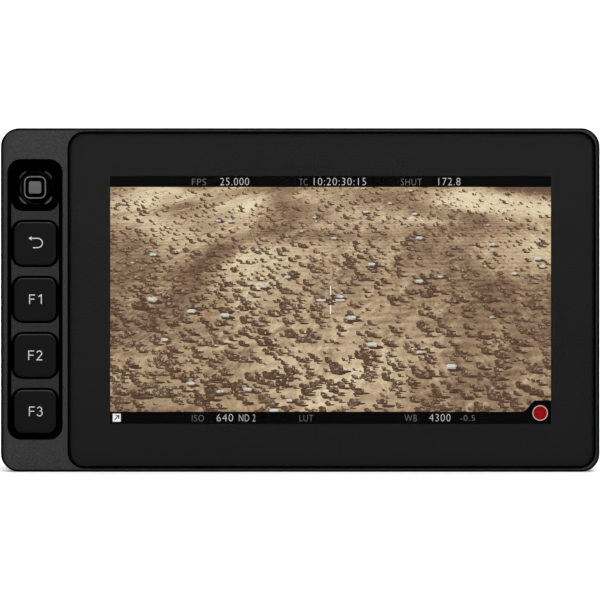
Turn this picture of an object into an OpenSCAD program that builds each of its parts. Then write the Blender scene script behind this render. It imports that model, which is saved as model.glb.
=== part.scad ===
// Camera field monitor: a five inch screen in a machined housing, with a thumb stick and four keys
// at its left. It stands upright: X runs along its width, the screen faces -Y and Z points up.
// The origin is the centre of the bottom tripod thread, on the underside. All sizes are millimetres.

/* [Body] */
// Height of the housing
body_h = 86.2; // [86:0.1:104]
// Distance from the card slot to the joint line, behind the boards
joint_gap = 1.3; // [1.2:0.1:3]
// Depth of the rear cover behind the joint line
cover_d = 7; // [6.5:0.1:9]
// Wall thickness of both shells
wall = 2; // [1.7:0.1:2.4]
// Radius of the four corners, seen from the front
corner_r = 4.6; // [3.8:0.1:5.5]
// Chamfer of the front edge
front_edge = 0.45; // [0.3:0.05:0.6]
// Chamfer of the rear edge
rear_edge = 1.4; // [1.1:0.1:1.7]

/* [Screen] */
// Width of the cover glass, which sets the width of the housing
glass_w = 131.5; // [125:0.1:160]
// Distance from the housing's right edge to the glass
glass_side = 1.45; // [1.3:0.05:3]
// Distance from the housing's top and bottom to the glass
glass_end = 1.3; // [1.2:0.05:3]
// Width of the strip between the glass and the recess of the keys
strip_w = 1.7; // [1.2:0.05:4]
// Radius of the glass corners
glass_r = 3.8; // [3:0.1:4.6]
// Thickness of the cover glass
glass_t = 1.1; // [0.9:0.1:1.3]
// Gap all round the glass
glass_gap = 0.15; // [0.1:0.01:0.25]
// Chamfer of the frame's edge round the glass
pocket_edge = 0.35; // [0.2:0.05:0.45]
// Rim of the glass at each side of the display panel
rim_side = 7.75; // [7.2:0.05:10]
// Rim of the glass over and under the display panel
rim_end = 7.3; // [7.2:0.05:10]
// Thickness of the display panel
panel_t = 1.4; // [1.1:0.1:1.7]
// Air gap between the glass and the display panel
air_gap = 0.1; // [0.05:0.05:0.2]
// Thickness of the backlight
backlight_t = 2.9; // [2.5:0.1:3.6]
// Thickness of the chassis plate behind the backlight
chassis_t = 1.2; // [1:0.1:1.5]

/* [Keys] */
// Distance from the end of the recess to the nearest opening, at the face
recess_end = 1.15; // [1.15:0.05:1.4]
// Depth of the recess
recess_d = 1.8; // [1.4:0.1:1.9]
// Width of the moat between the recess's side and the bars between the keys
moat_w = 1; // [0.7:0.05:1.1]
// Depth of the bars' tops under the face
bar_d = 0.45; // [0.2:0.05:0.8]
// Radius of the recess's corners
recess_r = 3.45; // [2.6:0.05:4]
// Width of a key
key_w = 10.4; // [8.6:0.1:12.5]
// Height of a key
key_h = 10.7; // [8.9:0.1:11.7]
// Radius of a key's corners
key_r = 2.1; // [1.2:0.05:2.2]
// Distance from one key to the next
key_pitch = 14.05; // [13:0.05:14.3]
// Height of the lowest key's middle over the underside
first_key = 15.15; // [15:0.05:15.6]
// Gap at each side of a key
key_gap_side = 0.8; // [0.4:0.05:1]
// Gap over and under a key
key_gap_end = 0.6; // [0.4:0.05:0.7]
// Travel of a key
key_travel = 0.6; // [0.4:0.05:0.7]

/* [Thumb stick] */
// Width of the rounded square collar round the stick
collar_w = 8.65; // [8.2:0.05:9.4]
// Radius of the round opening in the collar
collar_bore = 4.2; // [4:0.05:4.3]
// Radius of the dome under the cap
dome_r = 4.45; // [4:0.05:4.5]
// Width of the stick's cap
cap_w = 5.5; // [4.6:0.1:5.6]
// Height of the stick's cap
cap_h = 5.65; // [4.7:0.05:5.8]
// Travel of the cap when it is pressed
cap_travel = 0.3; // [0.2:0.05:0.35]
// Radius of the gimbal's pins
pin_r = 0.55; // [0.45:0.01:0.65]

/* [Boards] */
// Thickness of the circuit boards
board_t = 1.6; // [1.2:0.1:2]
// Distance from the housing's sides to the main board
board_side = 5.1; // [4.4:0.1:6]
// Distance from the underside and from the top to the main board
board_end = 12.1; // [11.5:0.1:13]
// Gap from the chassis plate to the main board
board_gap = 7.5; // [7.2:0.1:8]

/* [Fasteners] */
// Radius of a tripod insert
insert_r = 4.5; // [4.2:0.1:5]
// Length of a tripod insert
insert_l = 8; // [6.5:0.1:9]
// Radius of the tripod thread's core, for a quarter inch thread
thread_r = 2.6; // [2.5:0.05:2.7]
// Radius of a housing screw's shank
screw_r = 1.2; // [1:0.05:1.3]
// Radius of a housing screw's head
head_r = 2.2; // [2:0.05:2.3]
// Radius of a board screw's shank
small_screw_r = 0.95; // [0.8:0.05:1]
// Spacing of the accessory threads on the back, along the width
bolt_w = 60; // [56:0.5:66]
// Spacing of the accessory threads on the back, along the height
bolt_h = 40; // [34:0.5:46]
// Radius of an accessory thread's core, for an M3 thread
bolt_r = 1.25; // [1.2:0.01:1.3]

/* [Back] */
// Number of cooling grooves
groove_n = 9; // [5:1:9]
// Distance from one cooling groove to the next
groove_pitch = 5.6; // [4.6:0.1:5.8]
// Width of a cooling groove
groove_w = 2.6; // [2:0.1:3]
// Height of a cooling groove
groove_h = 46; // [38:0.5:50]
// Depth of a cooling groove
groove_d = 3; // [2:0.1:3.4]
// Distance from the housing's right edge to the video jacks
jack_side = 23.1; // [18:0.5:27]
// Distance from one video jack to the other
jack_pitch = 24; // [20:0.5:28]
// Length of a video jack behind the back
jack_l = 10.5; // [9.5:0.1:12]

/* [Hidden] */
$fn = 48;

// Depths: the front frame holds the glass, the screen, the boards and the card socket, one behind
// another, and the tripod threads are half way between the face and the back
glass_set = 0.1;
card_t = 2.8;
screen_d = glass_set + glass_t + air_gap + panel_t + backlight_t + chassis_t;
frame_d = screen_d + board_gap + board_t + card_t + joint_gap;
face_y = -(frame_d + cover_d) / 2;
joint_y = face_y + frame_d;
back_y = joint_y + cover_d;
over = 1;
touch = 0.3;
fit = 0.05;

// Width of the housing, from the wall at the left over the keys and the glass to the right edge
key_hole_w = key_w + 2 * key_gap_side;
key_hole_h = key_h + 2 * key_gap_end;
key_hole_r = 2.9;
flange_w = key_hole_w + 0.8;
flange_h = key_hole_h + 1;
bar_w = key_hole_w - 0.1;
recess_w = bar_w + 2 * moat_w;
key_column = wall + 0.2 + flange_w / 2;
body_w = key_column + recess_w / 2 + strip_w + glass_w + glass_side;
left_x = -body_w / 2;
right_x = body_w / 2;
mid_z = body_h / 2;
glass_h = body_h - 2 * glass_end;
pocket_w = glass_w + 2 * glass_gap;
pocket_h = glass_h + 2 * glass_gap;
pocket_r = glass_r + glass_gap;
panel_w = glass_w - 2 * rim_side;
panel_h = glass_h - 2 * rim_end;

// Screen stack, from the glass backwards
glass_y = face_y + glass_set;
glass_x = right_x - glass_side - glass_w / 2;
seal_y = glass_y + glass_t;
ledge_y = seal_y + 0.3;
shelf_y = ledge_y + 1.2;
window_w = panel_w + 1;
window_h = panel_h + 1;
panel_x = glass_x - 0.27;
panel_y = seal_y + air_gap;
panel_back = panel_y + panel_t;
chassis_y = panel_back + backlight_t;
chassis_back = chassis_y + chassis_t;
chassis_w = panel_w + 10.6;
chassis_h = panel_h + 1.8;
chassis_x = panel_x + 1.1;
chassis_hole_x = chassis_w / 2 - 2;
chassis_hole_z = panel_h / 3;

// Key column
key_x = left_x + key_column;
stick_z = key_z(4);
recess_low = first_key - key_hole_h / 2 - recess_end;
recess_h = stick_z + key_hole_h / 2 + recess_end - recess_low;
recess_z = recess_low + recess_h / 2;
floor_y = face_y + recess_d;
key_face = face_y + 0.1;
flange_y = shelf_y + touch;
flange_back = flange_y + 0.9;
key_board_y = flange_back + 4.2;
key_board_w = flange_w + 4;
key_board_x = left_x + wall + 0.5 + key_board_w / 2;
key_board_low = recess_low + 0.1;
key_board_h = recess_h - 0.2;
key_post_x = key_board_x + key_board_w / 2 - 1.7;
rib_w = 1.5;
rib_y = flange_back + key_travel + touch;
switch_w = 6.2;
switch_y = flange_back + 1;
plunger_r = 1.6;
plunger_end = flange_back + 2.5;
post_step = 2 * key_pitch + 1.9;
switch_bore = plunger_r + touch;

// Thumb stick: its two tilts cross at the pivot
pivot_y = shelf_y + 3.2;
dome_back = pivot_y - 2.2;
dome_front = pivot_y - 3.9;
cap_back = dome_front - cap_travel - 0.4;
cap_front = face_y + 0.1;
post_r = 0.95;
ring_in = 2.2;
ring_out = 3.4;
ring_t = 1.8;
pillar_in = ring_out + 0.5;
pillar_out = pillar_in + 1.3;

// Boards behind the chassis plate
board_y = chassis_back + board_gap;
board_back = board_y + board_t;
board_w = body_w - 2 * board_side;
board_h = body_h - 2 * board_end;
board_z = mid_z;
standoff_xs = [-board_w / 2 + 24, 4, board_w / 2 - 14];
standoff_zs = [board_z - board_h / 2 + 6, board_z + board_h / 2 - 6];

// Places of the eight housing screws and of the accessory threads
screw_side = 4.4;
screw_end = 4.4;
screw_mid = 38;
screw_xs = [left_x + screw_side, -screw_mid, screw_mid, right_x - screw_side];
screw_zs = [screw_end, body_h - screw_end];
screw_places = [for (x = screw_xs, z = screw_zs) [x, z]];
bolt_places = [for (x = [-bolt_w / 2, bolt_w / 2], z = [-bolt_h / 2, bolt_h / 2]) [x, mid_z + z]];
boss_r = 3;
screw_tip = joint_y - 7.5;
head_y = back_y - 1.5;

// Back of the rear cover
cover_wall_y = back_y - wall;
pedestal_w = (groove_n - 1) * groove_pitch + groove_w + 4;
pedestal_h = groove_h - 4;
chip_t = 1.5;
pad_t = 1.5;
pad_y = board_back + chip_t;
pedestal_y = pad_y + pad_t;
jack_x = right_x - jack_side;
jack_places = [[jack_x, mid_z + jack_pitch / 2], [jack_x, mid_z - jack_pitch / 2]];
jack_r = 4.83;
jack_root = cover_wall_y - 1.2;
nut_t = 2.2;
nut_r = 7;

// Sockets in the right wall, on the front of the main board
socket_face = right_x - 0.5;
hdmi_z = mid_z + 20;
hdmi_w = 15;
hdmi_t = 5.5;
usb_z = mid_z + 4;
usb_w = 8.9;
usb_t = 3.2;
phone_z = mid_z - 8.5;
phone_r = 2.9;
phone_bore = 1.8;
phone_y = board_y - phone_r;
dc_z = mid_z - 20;
dc_r = 3.1;
dc_bore = 2.75;
dc_y = board_y - dc_r - 0.1;
card_z = mid_z - 4;
card_w = 26;

// Power button in the top wall
power_x = left_x + 25.1;
power_w = 8;
power_t = 4;
power_y = board_y - 1.9;
power_travel = 0.4;
power_flange = body_h - wall - touch;
power_tip = power_flange - 7.1;

frame_c = [0.24, 0.24, 0.25];
black_c = [0.09, 0.09, 0.095];
metal_c = [0.62, 0.63, 0.65];
gold_c = [0.83, 0.68, 0.35];
board_c = [0.06, 0.22, 0.14];

// A rounded rectangle from true arcs, centred
module rounded(w, h, r) {
    square([w - 2 * r, h], center = true);
    square([w, h - 2 * r], center = true);
    for (sx = [-1, 1], sz = [-1, 1])
        translate([sx * (w / 2 - r), sz * (h / 2 - r)])
            circle(r = r);
}

// Lays an outline drawn in X and Z between two depths
module slab(y0, y1) {
    translate([0, y1, 0])
        rotate([90, 0, 0])
            linear_extrude(y1 - y0)
                children();
}

module plate(x, z, w, h, r, y0, y1) {
    translate([x, 0, z])
        slab(y0, y1)
            rounded(w, h, r);
}

module rod_y(x, z, r, y0, y1) {
    translate([x, y1, z])
        rotate([90, 0, 0])
            cylinder(r = r, h = y1 - y0);
}

module rod_x(y, z, r, x0, x1) {
    translate([x0, y, z])
        rotate([0, 90, 0])
            cylinder(r = r, h = x1 - x0);
}

module rod_z(x, y, r, z0, z1) {
    translate([x, y, z0])
        cylinder(r = r, h = z1 - z0);
}

module block(x0, x1, y0, y1, z0, z1) {
    translate([x0, y0, z0])
        cube([x1 - x0, y1 - y0, z1 - z0]);
}

// Carries a profile round a rounded rectangle in the XY plane. The profile's X is measured from
// a corner's centre and its Y is the height over the plane.
module round_sweep(w, h, r) {
    for (k = [0:3]) {
        half = k % 2 == 0 ? w / 2 : h / 2;
        run = k % 2 == 0 ? h - 2 * r : w - 2 * r;
        rotate([0, 0, 90 * k]) {
            translate([half - r, 0, 0])
                rotate([90, 0, 0])
                    linear_extrude(run, center = true)
                        children();
            translate([half - r, run / 2, 0])
                rotate_extrude(angle = 90)
                    children();
        }
    }
}

// Cuts a chamfer off the edge of a face that looks to +Z in the plane
module edge_cut(w, h, r, c) {
    round_sweep(w, h, r)
        polygon([[r - c, 0], [r, -c], [r + over, -c], [r + over, over], [r - c, over]]);
}

// Cuts a chamfer round the mouth of an opening in a face that looks to +Z
module mouth_cut(w, h, r, c) {
    inner = r - 0.2;
    round_sweep(w, h, r)
        polygon([[inner, -c], [r, -c], [r + c, 0], [r + c, over], [inner, over]]);
}

// Turns what looks to +Z so that it looks to the front, at a place on the face
module facing_front(x, y, z) {
    translate([x, y, z])
        rotate([90, 0, 0])
            children();
}

module facing_back(x, y, z) {
    translate([x, y, z])
        rotate([90, 0, 180])
            children();
}

// The recess of the keys: a moat with a bar left standing between each two openings
module recess_cut() {
    difference() {
        plate(key_x, recess_z, recess_w, recess_h, recess_r, face_y - over, floor_y);
        for (n = [0:3])
            block(key_x - bar_w / 2, key_x + bar_w / 2, face_y + bar_d, floor_y + over,
                  key_z(n) + key_hole_h / 2 - key_hole_r,
                  key_z(n + 1) - key_hole_h / 2 + key_hole_r);
    }
}

function key_z(n) = first_key + n * key_pitch;

module key_opening(z) {
    plate(key_x, z, key_hole_w, key_hole_h, key_hole_r, face_y, shelf_y + over);
}

module front_frame() {
    color(frame_c)
        difference() {
            union() {
                difference() {
                    plate(0, mid_z, body_w, body_h, corner_r, face_y, joint_y);
                    plate(0, mid_z, body_w - 2 * wall, body_h - 2 * wall, corner_r - wall,
                          shelf_y, joint_y + over);
                }
                for (p = screw_places)
                    rod_y(p[0], p[1], boss_r, shelf_y, joint_y);
                for (z = [0, body_h - insert_l - 1.5])
                    block(-7, 7, -6.2, 6.2, z, z + insert_l + 1.5);
                for (sx = [-1, 1], sz = [-1, 1])
                    rod_y(chassis_x + sx * chassis_hole_x, mid_z + sz * chassis_hole_z, 1.9,
                          shelf_y, chassis_y);
                for (n = [-1, 0, 1])
                    rod_y(key_post_x, recess_z + n * post_step, 1.7, shelf_y, key_board_y);
                block(left_x + wall, left_x + wall + rib_w, rib_y, key_board_y,
                      key_board_low, stick_z - key_hole_h / 2 - 1);
            }
            facing_front(0, face_y, mid_z)
                edge_cut(body_w, body_h, corner_r, front_edge);
            plate(glass_x, mid_z, pocket_w, pocket_h, pocket_r, face_y - over, ledge_y);
            facing_front(glass_x, face_y, mid_z)
                mouth_cut(pocket_w, pocket_h, pocket_r, pocket_edge);
            plate(panel_x, mid_z, window_w, window_h, 1.5, ledge_y - over, shelf_y + over);
            recess_cut();
            for (n = [0:3])
                key_opening(key_z(n));
            key_opening(stick_z);
            for (p = screw_places)
                rod_y(p[0], p[1], screw_r + fit, screw_tip - 1, joint_y + over);
            for (sx = [-1, 1], sz = [-1, 1])
                rod_y(chassis_x + sx * chassis_hole_x, mid_z + sz * chassis_hole_z,
                      small_screw_r + fit, chassis_y - 2.4, chassis_y + over);
            for (n = [-1, 0, 1])
                rod_y(key_post_x, recess_z + n * post_step, small_screw_r + fit,
                      key_board_y - 4, key_board_y + over);
            for (z = [-over, body_h - insert_l])
                rod_z(0, 0, insert_r, z, z + insert_l + over);
            seal_groove();
            side_openings();
            translate([power_x, power_y, body_h - wall - over])
                linear_extrude(wall + 2 * over)
                    rounded(power_w + 0.5, power_t + 0.5, power_t / 2 + 0.24);
        }
}

module seal_ring(inset, width, y0, y1) {
    w = body_w - 2 * inset;
    h = body_h - 2 * inset;
    r = corner_r - inset;
    slab(y0, y1)
        translate([0, mid_z])
            difference() {
                rounded(w, h, r);
                rounded(w - 2 * width, h - 2 * width, r - width);
            }
}

module seal_groove() {
    seal_ring(0.55, 0.9, joint_y - 0.8, joint_y + over);
}

module housing_seal() {
    color(black_c)
        seal_ring(0.6, 0.8, joint_y - 0.75, joint_y);
}

// Openings in the side walls for the sockets and the card
module side_openings() {
    through = right_x - wall - over;
    block(through, right_x + over, board_y - hdmi_t - 0.3, board_y + 0.3,
          hdmi_z - hdmi_w / 2 - 0.3, hdmi_z + hdmi_w / 2 + 0.3);
    translate([through, board_y - usb_t / 2, usb_z])
        rotate([90, 0, 90])
            linear_extrude(wall + 2 * over)
                rounded(usb_t + 0.6, usb_w + 0.6, usb_t / 2 + 0.29);
    rod_x(phone_y, phone_z, phone_r + 0.3, through, right_x + over);
    rod_x(dc_y, dc_z, dc_r + 0.3, through, right_x + over);
    block(left_x - over, left_x + wall + over, board_back - 0.3, board_back + card_t + 0.3,
          card_z - card_w / 2 - 0.3, card_z + card_w / 2 + 0.3);
}

module rear_cover() {
    color(frame_c)
        difference() {
            union() {
                difference() {
                    plate(0, mid_z, body_w, body_h, corner_r, joint_y, back_y);
                    plate(0, mid_z, body_w - 2 * wall, body_h - 2 * wall, corner_r - wall,
                          joint_y - over, cover_wall_y);
                }
                for (p = screw_places)
                    rod_y(p[0], p[1], boss_r + 0.4, joint_y, cover_wall_y);
                for (p = bolt_places)
                    rod_y(p[0], p[1], 3.4, back_y - 5.5, cover_wall_y);
                plate(0, mid_z, pedestal_w, pedestal_h, 3, pedestal_y, cover_wall_y);
            }
            facing_back(0, back_y, mid_z)
                edge_cut(body_w, body_h, corner_r, rear_edge);
            for (p = screw_places) {
                rod_y(p[0], p[1], screw_r + 0.15, joint_y - over, back_y);
                rod_y(p[0], p[1], head_r + 0.15, head_y, back_y + over);
            }
            for (p = bolt_places)
                rod_y(p[0], p[1], bolt_r, back_y - 4.5, back_y + over);
            for (n = [0:groove_n - 1])
                plate((n - (groove_n - 1) / 2) * groove_pitch, mid_z, groove_w, groove_h,
                      groove_w / 2 - 0.01, back_y - groove_d, back_y + over);
            for (p = jack_places)
                rod_y(p[0], p[1], jack_r + 0.1, joint_y - over, back_y + over);
        }
}

module housing_screws() {
    color(metal_c)
        for (p = screw_places)
            difference() {
                union() {
                    rod_y(p[0], p[1], screw_r, screw_tip, head_y);
                    rod_y(p[0], p[1], head_r, head_y, back_y - 0.1);
                }
                translate([p[0], back_y + over, p[1]])
                    rotate([90, 0, 0])
                        cylinder(r = 1.2, h = over + 1, $fn = 6);
            }
}

module cover_glass() {
    color([0.16, 0.16, 0.165])
        difference() {
            plate(glass_x, mid_z, glass_w, glass_h, glass_r, glass_y, seal_y);
            facing_front(glass_x, glass_y, mid_z)
                edge_cut(glass_w, glass_h, glass_r, 0.2);
        }
}

module glass_seal() {
    color(black_c)
        slab(seal_y, ledge_y)
            difference() {
                translate([glass_x, mid_z])
                    rounded(glass_w - 1, glass_h - 1, glass_r - 0.5);
                translate([panel_x, mid_z])
                    rounded(window_w + 1, window_h + 1, 1.5);
            }
}

module lcd_panel() {
    color([0.62, 0.5, 0.36])
        plate(panel_x, mid_z, panel_w, panel_h, 0.6, panel_y, panel_back);
}

module backlight_unit() {
    color([0.85, 0.86, 0.88])
        plate(panel_x, mid_z, panel_w, panel_h, 0.6, panel_back, chassis_y);
}

// Folded ribbon from the backlight's lower edge round the chassis plate to the main board
module display_flex() {
    low = mid_z - panel_h / 2;
    down = low - 1.5;
    rear = chassis_back + 1;
    up = low + 8;
    t = 0.3;
    color([0.72, 0.45, 0.12])
        translate([12, 0, 0])
            rotate([90, 0, 90])
                linear_extrude(18)
                    polygon([
                        [chassis_y - 2, low], [chassis_y - 2, down], [rear, down],
                        [rear, up - t], [board_y, up - t], [board_y, up],
                        [rear - t, up], [rear - t, down + t],
                        [chassis_y - 2 + t, down + t], [chassis_y - 2 + t, low],
                    ]);
}

module chassis_plate() {
    color([0.55, 0.56, 0.58])
        difference() {
            plate(chassis_x, mid_z, chassis_w, chassis_h, 2, chassis_y, chassis_back);
            for (sx = [-1, 1], sz = [-1, 1])
                rod_y(chassis_x + sx * chassis_hole_x, mid_z + sz * chassis_hole_z,
                      small_screw_r + 0.15, chassis_y - over, chassis_back + over);
            for (n = [-1, 1])
                plate(panel_x + n * 26, mid_z, 26, 30, 4, chassis_y - over, chassis_back + over);
        }
}

// A small pan head screw that looks to the back
module small_screw(x, z, tip, seat) {
    rod_y(x, z, small_screw_r, tip, seat);
    rod_y(x, z, 1.7, seat, seat + 1.1);
}

module chassis_screws() {
    color(metal_c)
        for (sx = [-1, 1], sz = [-1, 1])
            small_screw(chassis_x + sx * chassis_hole_x, mid_z + sz * chassis_hole_z,
                        chassis_y - 2.2, chassis_back);
}

module board_standoffs() {
    color(gold_c)
        for (x = standoff_xs, z = standoff_zs)
            difference() {
                translate([x, board_y, z])
                    rotate([90, 0, 0])
                        cylinder(r = 2.6, h = board_gap, $fn = 6);
                rod_y(x, z, small_screw_r + fit, board_y - 4.4, board_y + over);
            }
}

module board_screws() {
    color(metal_c)
        for (x = standoff_xs, z = standoff_zs)
            small_screw(x, z, board_y - 4, board_back);
}

module main_board() {
    color(board_c)
        difference() {
            plate(0, board_z, board_w, board_h, 2, board_y, board_back);
            for (x = standoff_xs, z = standoff_zs)
                rod_y(x, z, small_screw_r + 0.15, board_y - over, board_back + over);
        }
}

// Processor under the thermal pad, with memory and ribbon connectors round it
module board_chips() {
    color([0.12, 0.12, 0.13]) {
        plate(-10, mid_z, 24, 24, 0.6, board_back, pad_y);
        for (z = [-7, 7])
            plate(12, mid_z + z, 9, 11, 0.4, board_back, board_back + 1);
        plate(21, board_z + 16, 20, 5, 0.4, board_y - 2, board_y);
        plate(-30, board_z - 16, 14, 8, 0.4, board_y - 1.6, board_y);
    }
}

module thermal_pad() {
    color([0.55, 0.62, 0.7])
        plate(-10, mid_z, 22, 22, 1, pad_y, pedestal_y);
}

module key_board() {
    color(board_c)
        difference() {
            plate(key_board_x, key_board_low + key_board_h / 2, key_board_w, key_board_h, 1,
                  key_board_y, key_board_y + 1.2);
            for (n = [-1, 0, 1])
                rod_y(key_post_x, recess_z + n * post_step, small_screw_r + 0.15,
                      key_board_y - over, key_board_y + 1.2 + over);
        }
}

module key_board_screws() {
    color(metal_c)
        for (n = [-1, 0, 1])
            small_screw(key_post_x, recess_z + n * post_step, key_board_y - 3.6, key_board_y + 1.2);
}

// One push switch body behind each key, bored for its plunger
module key_switches() {
    color([0.2, 0.2, 0.21])
        for (n = [0:3])
            difference() {
                plate(key_x, key_z(n), switch_w, switch_w, 0.5, switch_y, key_board_y);
                rod_y(key_x, key_z(n), switch_bore, switch_y - over,
                      plunger_end + key_travel + touch);
            }
}

// Ribbon that joins the two boards
module key_flex() {
    color([0.72, 0.45, 0.12])
        block(key_x + 4.2, key_x + 4.5, key_board_y + 1.2, board_y, mid_z - 6, mid_z + 6);
}

// A key: the cap that shows and the flange that keeps it in
module key(z) {
    color(black_c)
        difference() {
            union() {
                plate(key_x, z, key_w, key_h, key_r, key_face, flange_back);
                plate(key_x, z, flange_w, flange_h, 2,
                      flange_y, flange_back);
            }
            facing_front(key_x, key_face, z)
                edge_cut(key_w, key_h, key_r, 0.25);
        }
}

module plunger(z) {
    color([0.85, 0.85, 0.83])
        rod_y(key_x, z, plunger_r, flange_back, plunger_end);
}

// The square collar round the stick, with its flange behind the recess floor
module joystick_bezel() {
    color([0.2, 0.2, 0.21])
        difference() {
            union() {
                plate(key_x, stick_z, collar_w, collar_w, 2.8, floor_y, shelf_y + 1);
                plate(key_x, stick_z, flange_w, flange_h, 2,
                      shelf_y, shelf_y + 1);
            }
            rod_y(key_x, stick_z, collar_bore, floor_y - over, shelf_y + 2);
        }
}

// Base on the key board, with the two pillars that carry the gimbal
module joystick_base() {
    color(metal_c)
        difference() {
            union() {
                plate(key_x, stick_z, 11, 11, 1, key_board_y - 0.6, key_board_y);
                for (sx = [-1, 1])
                    block(key_x + (sx > 0 ? pillar_in : -pillar_out),
                          key_x + (sx > 0 ? pillar_out : -pillar_in),
                          pivot_y - 1, key_board_y - 0.3, stick_z - 1.6, stick_z + 1.6);
            }
            rod_x(pivot_y, stick_z, pin_r + fit, key_x - pillar_out - over,
                  key_x + pillar_out + over);
            rod_y(key_x, stick_z, 2.5, key_board_y - 2, key_board_y + over);
        }
}

// The ring between the two tilts: trunnions along X, bores for the stem's pin along Z
module joystick_gimbal() {
    color(metal_c)
        difference() {
            union() {
                rod_y(key_x, stick_z, ring_out, pivot_y - ring_t / 2, pivot_y + ring_t / 2);
                rod_x(pivot_y, stick_z, pin_r, key_x - pillar_out, key_x + pillar_out);
            }
            rod_y(key_x, stick_z, ring_in, pivot_y - ring_t, pivot_y + ring_t);
            rod_z(key_x, pivot_y, pin_r + fit, stick_z - ring_out - over,
                  stick_z + ring_out + over);
        }
}

// The dome that closes the collar, its shaft and the pin it tilts on
module joystick_stem() {
    color(black_c) {
        intersection() {
            translate([key_x, pivot_y, stick_z])
                sphere(r = dome_r);
            rod_y(key_x, stick_z, dome_r + over, dome_front, dome_back);
        }
        rod_y(key_x, stick_z, post_r, cap_back - 0.35, dome_front + 0.5);
        rod_y(key_x, stick_z, 1.2, dome_back - 0.5, pivot_y + 1.2);
        rod_z(key_x, pivot_y, pin_r, stick_z - ring_out, stick_z + ring_out);
    }
}

// The cap: a raised rim, a moat and a raised middle
module joystick_cap() {
    rim = 0.32;
    corner = 1.5;
    moat_y = cap_front + 0.55;
    color([0.42, 0.42, 0.42])
        difference() {
            plate(key_x, stick_z, cap_w, cap_h, corner, cap_front, cap_back);
            slab(cap_front - over, moat_y)
                translate([key_x, stick_z])
                    difference() {
                        rounded(cap_w - 2 * rim, cap_h - 2 * rim, corner - rim);
                        rounded(3.1, 3.05, 0.5);
                    }
            rod_y(key_x, stick_z, post_r + fit, cap_back - 0.45 - cap_travel,
                  cap_back + over);
        }
}

module power_button() {
    color(black_c) {
        translate([power_x, power_y, power_flange - 0.9])
            linear_extrude(body_h + 0.3 - power_flange + 0.9)
                rounded(power_w, power_t, power_t / 2 - 0.01);
        translate([power_x, power_y, power_flange - 0.9])
            linear_extrude(0.9)
                rounded(power_w + 1.6, power_t + 1.2, power_t / 2);
        rod_z(power_x, power_y, 1.2, power_tip, power_flange - 0.5);
    }
}

module power_switch() {
    color([0.2, 0.2, 0.21])
        difference() {
            block(power_x - 3.1, power_x + 3.1, board_y - 3.8, board_y,
                  power_tip - 6, power_tip + 1.1);
            rod_z(power_x, power_y, 1.5, power_tip - power_travel - 0.4, power_tip + 2);
        }
}

// A tripod thread insert, open to the underside or to the top
module thread_insert(z0) {
    color(metal_c)
        difference() {
            rod_z(0, 0, insert_r, z0, z0 + insert_l);
            rod_z(0, 0, thread_r, z0 - over, z0 + insert_l + over);
        }
}

// A socket shell on the main board: a box along X that is open at its outer end
module hdmi_socket() {
    color(metal_c)
        difference() {
            block(socket_face - 12, socket_face, board_y - hdmi_t, board_y,
                  hdmi_z - hdmi_w / 2, hdmi_z + hdmi_w / 2);
            translate([socket_face - 10, board_y - hdmi_t / 2, hdmi_z])
                rotate([90, 0, 90])
                    linear_extrude(10 + over)
                        polygon([
                            [-2.25, 7], [-2.25, -7], [1.2, -7], [2.25, -5.6],
                            [2.25, 5.6], [1.2, 7],
                        ]);
        }
}

module hdmi_tongue() {
    color(black_c)
        block(socket_face - 10, socket_face - 1, board_y - hdmi_t / 2 - 1,
              board_y - hdmi_t / 2 - 0.1, hdmi_z - 5.4, hdmi_z + 5.4);
}

module usb_socket() {
    color(metal_c)
        translate([socket_face - 8, board_y - usb_t / 2, usb_z])
            rotate([90, 0, 90])
                difference() {
                    linear_extrude(8)
                        rounded(usb_t, usb_w, usb_t / 2 - 0.01);
                    translate([0, 0, 1])
                        linear_extrude(8)
                            rounded(usb_t - 0.6, usb_w - 0.6, usb_t / 2 - 0.31);
                }
}

module usb_tongue() {
    color(black_c)
        block(socket_face - 7, socket_face - 1, board_y - usb_t / 2 - 0.35,
              board_y - usb_t / 2 + 0.35, usb_z - 3.3, usb_z + 3.3);
}

module headphone_jack() {
    color(black_c)
        difference() {
            union() {
                rod_x(phone_y, phone_z, phone_r, socket_face - 3, socket_face);
                block(socket_face - 13, socket_face - 2.6, phone_y - phone_r + 0.1, board_y,
                      phone_z - phone_r, phone_z + phone_r);
            }
            rod_x(phone_y, phone_z, phone_bore, socket_face - 11, socket_face + over);
        }
}

module dc_socket() {
    color(black_c)
        difference() {
            union() {
                rod_x(dc_y, dc_z, dc_r, socket_face - 3, socket_face);
                block(socket_face - 12, socket_face - 2.6, dc_y - dc_r + 0.1, board_y,
                      dc_z - 4, dc_z + 4);
            }
            rod_x(dc_y, dc_z, dc_bore, socket_face - 9.5, socket_face + over);
        }
}

module dc_pin() {
    color(metal_c)
        rod_x(dc_y, dc_z, 1, socket_face - 9.5, socket_face - 0.8);
}

module card_socket() {
    outer = left_x + 0.6;
    color(metal_c)
        difference() {
            block(outer, outer + 28, board_back, board_back + card_t,
                  card_z - card_w / 2, card_z + card_w / 2);
            block(outer - over, outer + 26, board_back + 0.35, board_back + card_t - 0.35,
                  card_z - card_w / 2 + 0.9, card_z + card_w / 2 - 0.9);
        }
}

// A bayonet jack: a barrel with two lugs, hollow behind the back of the housing
module bayonet_jack(p) {
    end_y = back_y + jack_l;
    color(metal_c)
        difference() {
            union() {
                rod_y(p[0], p[1], jack_r, jack_root, end_y);
                rod_y(p[0], p[1], 6.2, jack_root - 1.5, jack_root);
                block(p[0] - 5, p[0] + 5, board_back, jack_root - 1.5, p[1] - 5, p[1] + 5);
                rod_z(p[0], end_y - 5, 0.95, p[1] - 5.5, p[1] + 5.5);
            }
            rod_y(p[0], p[1], 4.05, end_y - 8, end_y + over);
            rod_y(p[0], p[1], 2, board_back + 1, end_y);
        }
}

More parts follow.
